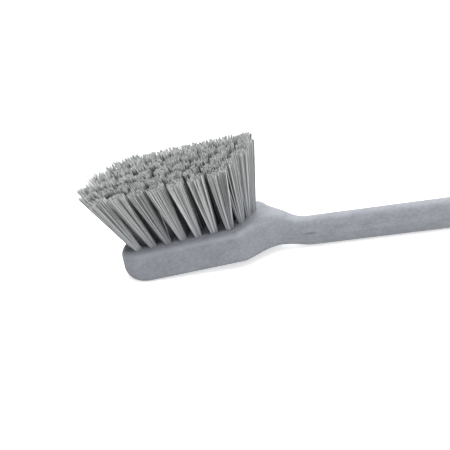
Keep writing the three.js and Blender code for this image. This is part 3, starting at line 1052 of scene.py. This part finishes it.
def filament_material(colours):
    material, nodes, shader = new_material("drawn_filament")
    run = attribute(nodes, "along")
    root, middle = tinted(colours.filament_root), tinted(colours.filament)
    base = ramp(nodes, run, root, middle, 0.05, 0.6)
    # Painted shade: the last stretch below the trim takes the darker tip colour
    cut_end = map_range(nodes, run, (CUT_END, 1.0))
    base = mix_colour(nodes, cut_end, base, tinted(colours.filament_tip))
    # The tone attribute holds random tone together with painted shade and painted light
    tone = map_range(nodes, attribute(nodes, "tone"), TONE_SPAN, TONE_SCALE)
    scale = nodes.new("ShaderNodeVectorMath")
    scale.operation = "SCALE"
    fill(scale, {0: base, "Scale": tone})
    grain = add_grain(nodes, (1.0, 1.0, 0.25), 300.0, 1500.0, 4000.0)
    fill(shader, {
        "Base Color": scale.outputs["Vector"],
        "Roughness": map_range(nodes, grain["Speckle"], after=(0.42, 0.62)),
        "Specular IOR Level": 0.3,
        "Normal": bumped(nodes, grain["Height"], 0.15, 0.00005),
    })
    return material


def wire_material(colours):
    material, nodes, shader = new_material("anchor_brass")
    grain = add_grain(nodes, (0.15, 1.0, 1.0), 400.0, 2500.0, 6000.0)
    dark = tinted(colours.wire, WIRE_DULL)
    fill(shader, {
        "Base Color": ramp(nodes, grain["Mottle"], dark, tinted(colours.wire)),
        "Metallic": 1.0,
        "Roughness": 0.35,
        "Normal": bumped(nodes, grain["Height"], 0.2, 0.00003),
    })
    return material


def floor_material(colours):
    """A pale floor that glows more further out, and more to the camera than on the brush."""
    material, nodes, shader = new_material("pale_floor")
    grain = add_grain(nodes, (1.0, 1.0, 1.0), 3.0, 120.0, 500.0)
    low = tinted(colours.floor, FLOOR_DULL)
    away = nodes.new("ShaderNodeVectorMath")
    away.operation = "LENGTH"
    fill(away, {0: object_place(nodes)})
    glow = map_range(nodes, away.outputs["Value"], FLOOR_GLOW_FROM, FLOOR_GLOW)
    seen = nodes.new("ShaderNodeLightPath").outputs["Is Camera Ray"]
    fill(shader, {
        "Base Color": ramp(nodes, grain["Mottle"], low, tinted(colours.floor)),
        "Roughness": 0.85,
        "Specular IOR Level": 0.2,
        "Emission Color": WHITE,
        "Emission Strength": calculate(nodes, "MULTIPLY_ADD", seen, FLOOR_SEEN_GLOW, glow),
    })
    return material


# Footing of the brush

def standing_points():
    """The two points that the brush stands on, toe first, along the brush and in height."""
    body = bpy.data.objects["moulded_body"].data
    points = sorted((v.co.x, v.co.z) for v in body.vertices)
    hull = []
    for p in points:
        while len(hull) > 1:
            (ax, az), (bx, bz) = hull[-2], hull[-1]
            if (bx - ax) * (p[1] - az) - (bz - az) * (p[0] - ax) > 0:
                break
            hull.pop()
        hull.append(p)
    return max(zip(hull, hull[1:]), key=lambda pair: pair[1][0] - pair[0][0])


# Operators

class POTBRUSH_OT_moulding(bpy.types.Operator):
    """Model block and handle as one moulding, with tuft holes, hanging hole and gate mark"""

    bl_idname = "potbrush.moulding"
    bl_label = "Moulding"

    def execute(self, context):
        scene = context.scene
        block, handle, tufts = scene.brush_block, scene.brush_handle, scene.brush_tufts
        piece = skin_rings("moulded_body", moulding_rings(block, scene.brush_shoulder, handle))
        bore = drill(tufts.hole / 2, block.thickness - tufts.back_wall)
        spots = []
        for _, base, lean in tuft_places(block, tufts):
            turn = Vector((0, 0, 1)).rotation_difference(drilled(tufts, lean))
            spots.append(Matrix.Translation(base) @ turn.to_matrix().to_4x4())
        cut(piece, join_copies(bore, spots, "tuft_holes"))
        cut(piece, hang_cutter(handle))
        cut(piece, gate_cutter(handle))
        edit(piece, action="SELECT")
        bpy.ops.mesh.remove_doubles(threshold=MERGE_DISTANCE)
        pick(piece)
        bpy.ops.object.shade_smooth_by_angle(angle=SMOOTH_ANGLE)
        paint_edge_highlight(piece, block, scene.brush_shoulder)
        piece.data.materials.append(moulding_material(scene.brush_colours, block, tufts))
        seat(piece, "moulding", "handle_block")
        return {"FINISHED"}


class POTBRUSH_OT_tufts(bpy.types.Operator):
    """Lay the filaments of every tuft, in a near, a centre and a far group"""

    bl_idname = "potbrush.tufts"
    bl_label = "Tufts"

    def execute(self, context):
        scene = context.scene
        block, tufts = scene.brush_block, scene.brush_tufts
        rng = random.Random(SEED)
        material = filament_material(scene.brush_colours)
        places = tuft_places(block, tufts)
        for name, node, rows in (
            ("tufts_near", "bristles_near", (-OUTER_ROW, -1)),
            ("tufts_centre", "bristles_centre", (0,)),
            ("tufts_far", "bristles_far", (1, OUTER_ROW)),
        ):
            own = [place for place in places if place[0] in rows]
            piece = lay_filaments(name, own, tufts, rng)
            piece.data.materials.append(material)
            seat(piece, "filament", node)
        return {"FINISHED"}


class POTBRUSH_OT_anchors(bpy.types.Operator):
    """Finish the flat wire anchors at the bottoms of the tuft holes"""

    bl_idname = "potbrush.anchors"
    bl_label = "Anchors"

    def execute(self, context):
        material = wire_material(context.scene.brush_colours)
        anchors = [node for name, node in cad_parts.items()
                   if name.startswith("tuft_anchor")]
        if not anchors:
            raise RuntimeError("the frame has no tuft anchors")
        for node in anchors:
            for slot in node.material_slots:
                slot.material = material
        return {"FINISHED"}


class POTBRUSH_OT_stage(bpy.types.Operator):
    """Set up the floor, the soft lights and the camera"""

    bl_idname = "potbrush.stage"
    bl_label = "Stage"

    def execute(self, context):
        scene = context.scene
        (ax, az), (bx, bz) = standing_points()
        tilt = Matrix.Rotation(-math.atan2(bz - az, bx - ax), 4, "Y")
        deselect()
        bpy.ops.mesh.primitive_plane_add(size=FLOOR_SIZE)
        floor = name_piece(bpy.context.object, "floor")
        edit(floor, action="SELECT")
        bpy.ops.mesh.subdivide(number_cuts=FLOOR_CUTS)
        deselect()
        floor.data.transform(Matrix.Translation((ax, 0, az - FLOOR_GAP)) @ tilt)
        floor.data.materials.append(floor_material(scene.brush_colours))
        self.place_camera(scene)
        self.place_lights(scene)
        return {"FINISHED"}

    def place_camera(self, scene):
        view = scene.brush_view
        a, e, r = view.azimuth, view.elevation, view.roll
        back = Vector((math.sin(a) * math.cos(e), -math.cos(a) * math.cos(e), math.sin(e)))
        right = (-back).cross(Vector((0, 0, 1))).normalized()
        up = right.cross(-back)
        across = right * math.cos(r) - up * math.sin(r)
        rise = right * math.sin(r) + up * math.cos(r)
        turn = Matrix((across, rise, back)).transposed().to_4x4()
        data = bpy.data.cameras.new("photo_camera")
        data.lens = view.lens
        data.clip_start = 0.02
        data.clip_end = 30.0
        camera = bpy.data.objects.new("photo_camera", data)
        camera.matrix_world = Matrix.Translation(Vector(view.aim) + back * view.distance) @ turn
        scene.collection.objects.link(camera)
        scene.camera = camera

    def place_lights(self, scene):
        world = bpy.data.worlds.new("studio")
        world.use_nodes = True
        nodes = world.node_tree.nodes
        ambient, backdrop = nodes["Background"], nodes.new("ShaderNodeBackground")
        fill(ambient, {"Color": WHITE, "Strength": FILL_STRENGTH})
        fill(backdrop, {"Color": WHITE})
        path = nodes.new("ShaderNodeLightPath")
        choice = nodes.new("ShaderNodeMixShader")
        fill(choice, {
            "Fac": path.outputs["Is Camera Ray"],
            1: ambient.outputs["Background"],
            2: backdrop.outputs["Background"],
        })
        fill(nodes["World Output"], {"Surface": choice.outputs["Shader"]})
        scene.world = world
        scene.view_settings.view_transform = "Standard"
        for name, place, power in SOFTBOXES:
            data = bpy.data.lights.new(name, "AREA")
            data.shape = "SQUARE"
            data.size = SOFTBOX_SIZE
            data.energy = power
            light = bpy.data.objects.new(name, data)
            light.location = place
            back = Vector(place) - Vector(SOFTBOX_AIM)
            light.rotation_euler = back.to_track_quat("Z", "Y").to_euler()
            scene.collection.objects.link(light)


class POTBRUSH_PT_panel(bpy.types.Panel):
    """Buttons for each step of the brush"""

    bl_idname = "POTBRUSH_PT_panel"
    bl_label = "Pot Brush"
    bl_space_type = "VIEW_3D"
    bl_region_type = "UI"
    bl_category = "Pot Brush"

    def draw(self, context):
        layout = self.layout
        for step in STEPS:
            layout.operator(step.bl_idname)
        for group in GROUPS:
            values = getattr(context.scene, group)
            box = layout.box()
            for name in values.__annotations__:
                box.prop(values, name)


GROUPS = {
    "brush_block": BlockSizes,
    "brush_shoulder": ShoulderSizes,
    "brush_handle": HandleSizes,
    "brush_tufts": TuftSizes,
    "brush_colours": FinishColours,
    "brush_view": ViewValues,
}
STEPS = (POTBRUSH_OT_moulding, POTBRUSH_OT_tufts, POTBRUSH_OT_anchors, POTBRUSH_OT_stage)


def register():
    for cls in (*GROUPS.values(), *STEPS, POTBRUSH_PT_panel):
        bpy.utils.register_class(cls)
    for name, cls in GROUPS.items():
        setattr(bpy.types.Scene, name, PointerProperty(type=cls))


def unregister():
    for name in GROUPS:
        delattr(bpy.types.Scene, name)
    for cls in reversed((*GROUPS.values(), *STEPS, POTBRUSH_PT_panel)):
        bpy.utils.unregister_class(cls)


def main():
    register()
    deselect()
    bpy.ops.potbrush.moulding()
    bpy.ops.potbrush.tufts()
    bpy.ops.potbrush.anchors()
    bpy.ops.potbrush.stage()


if __name__ == "__main__":
    main()
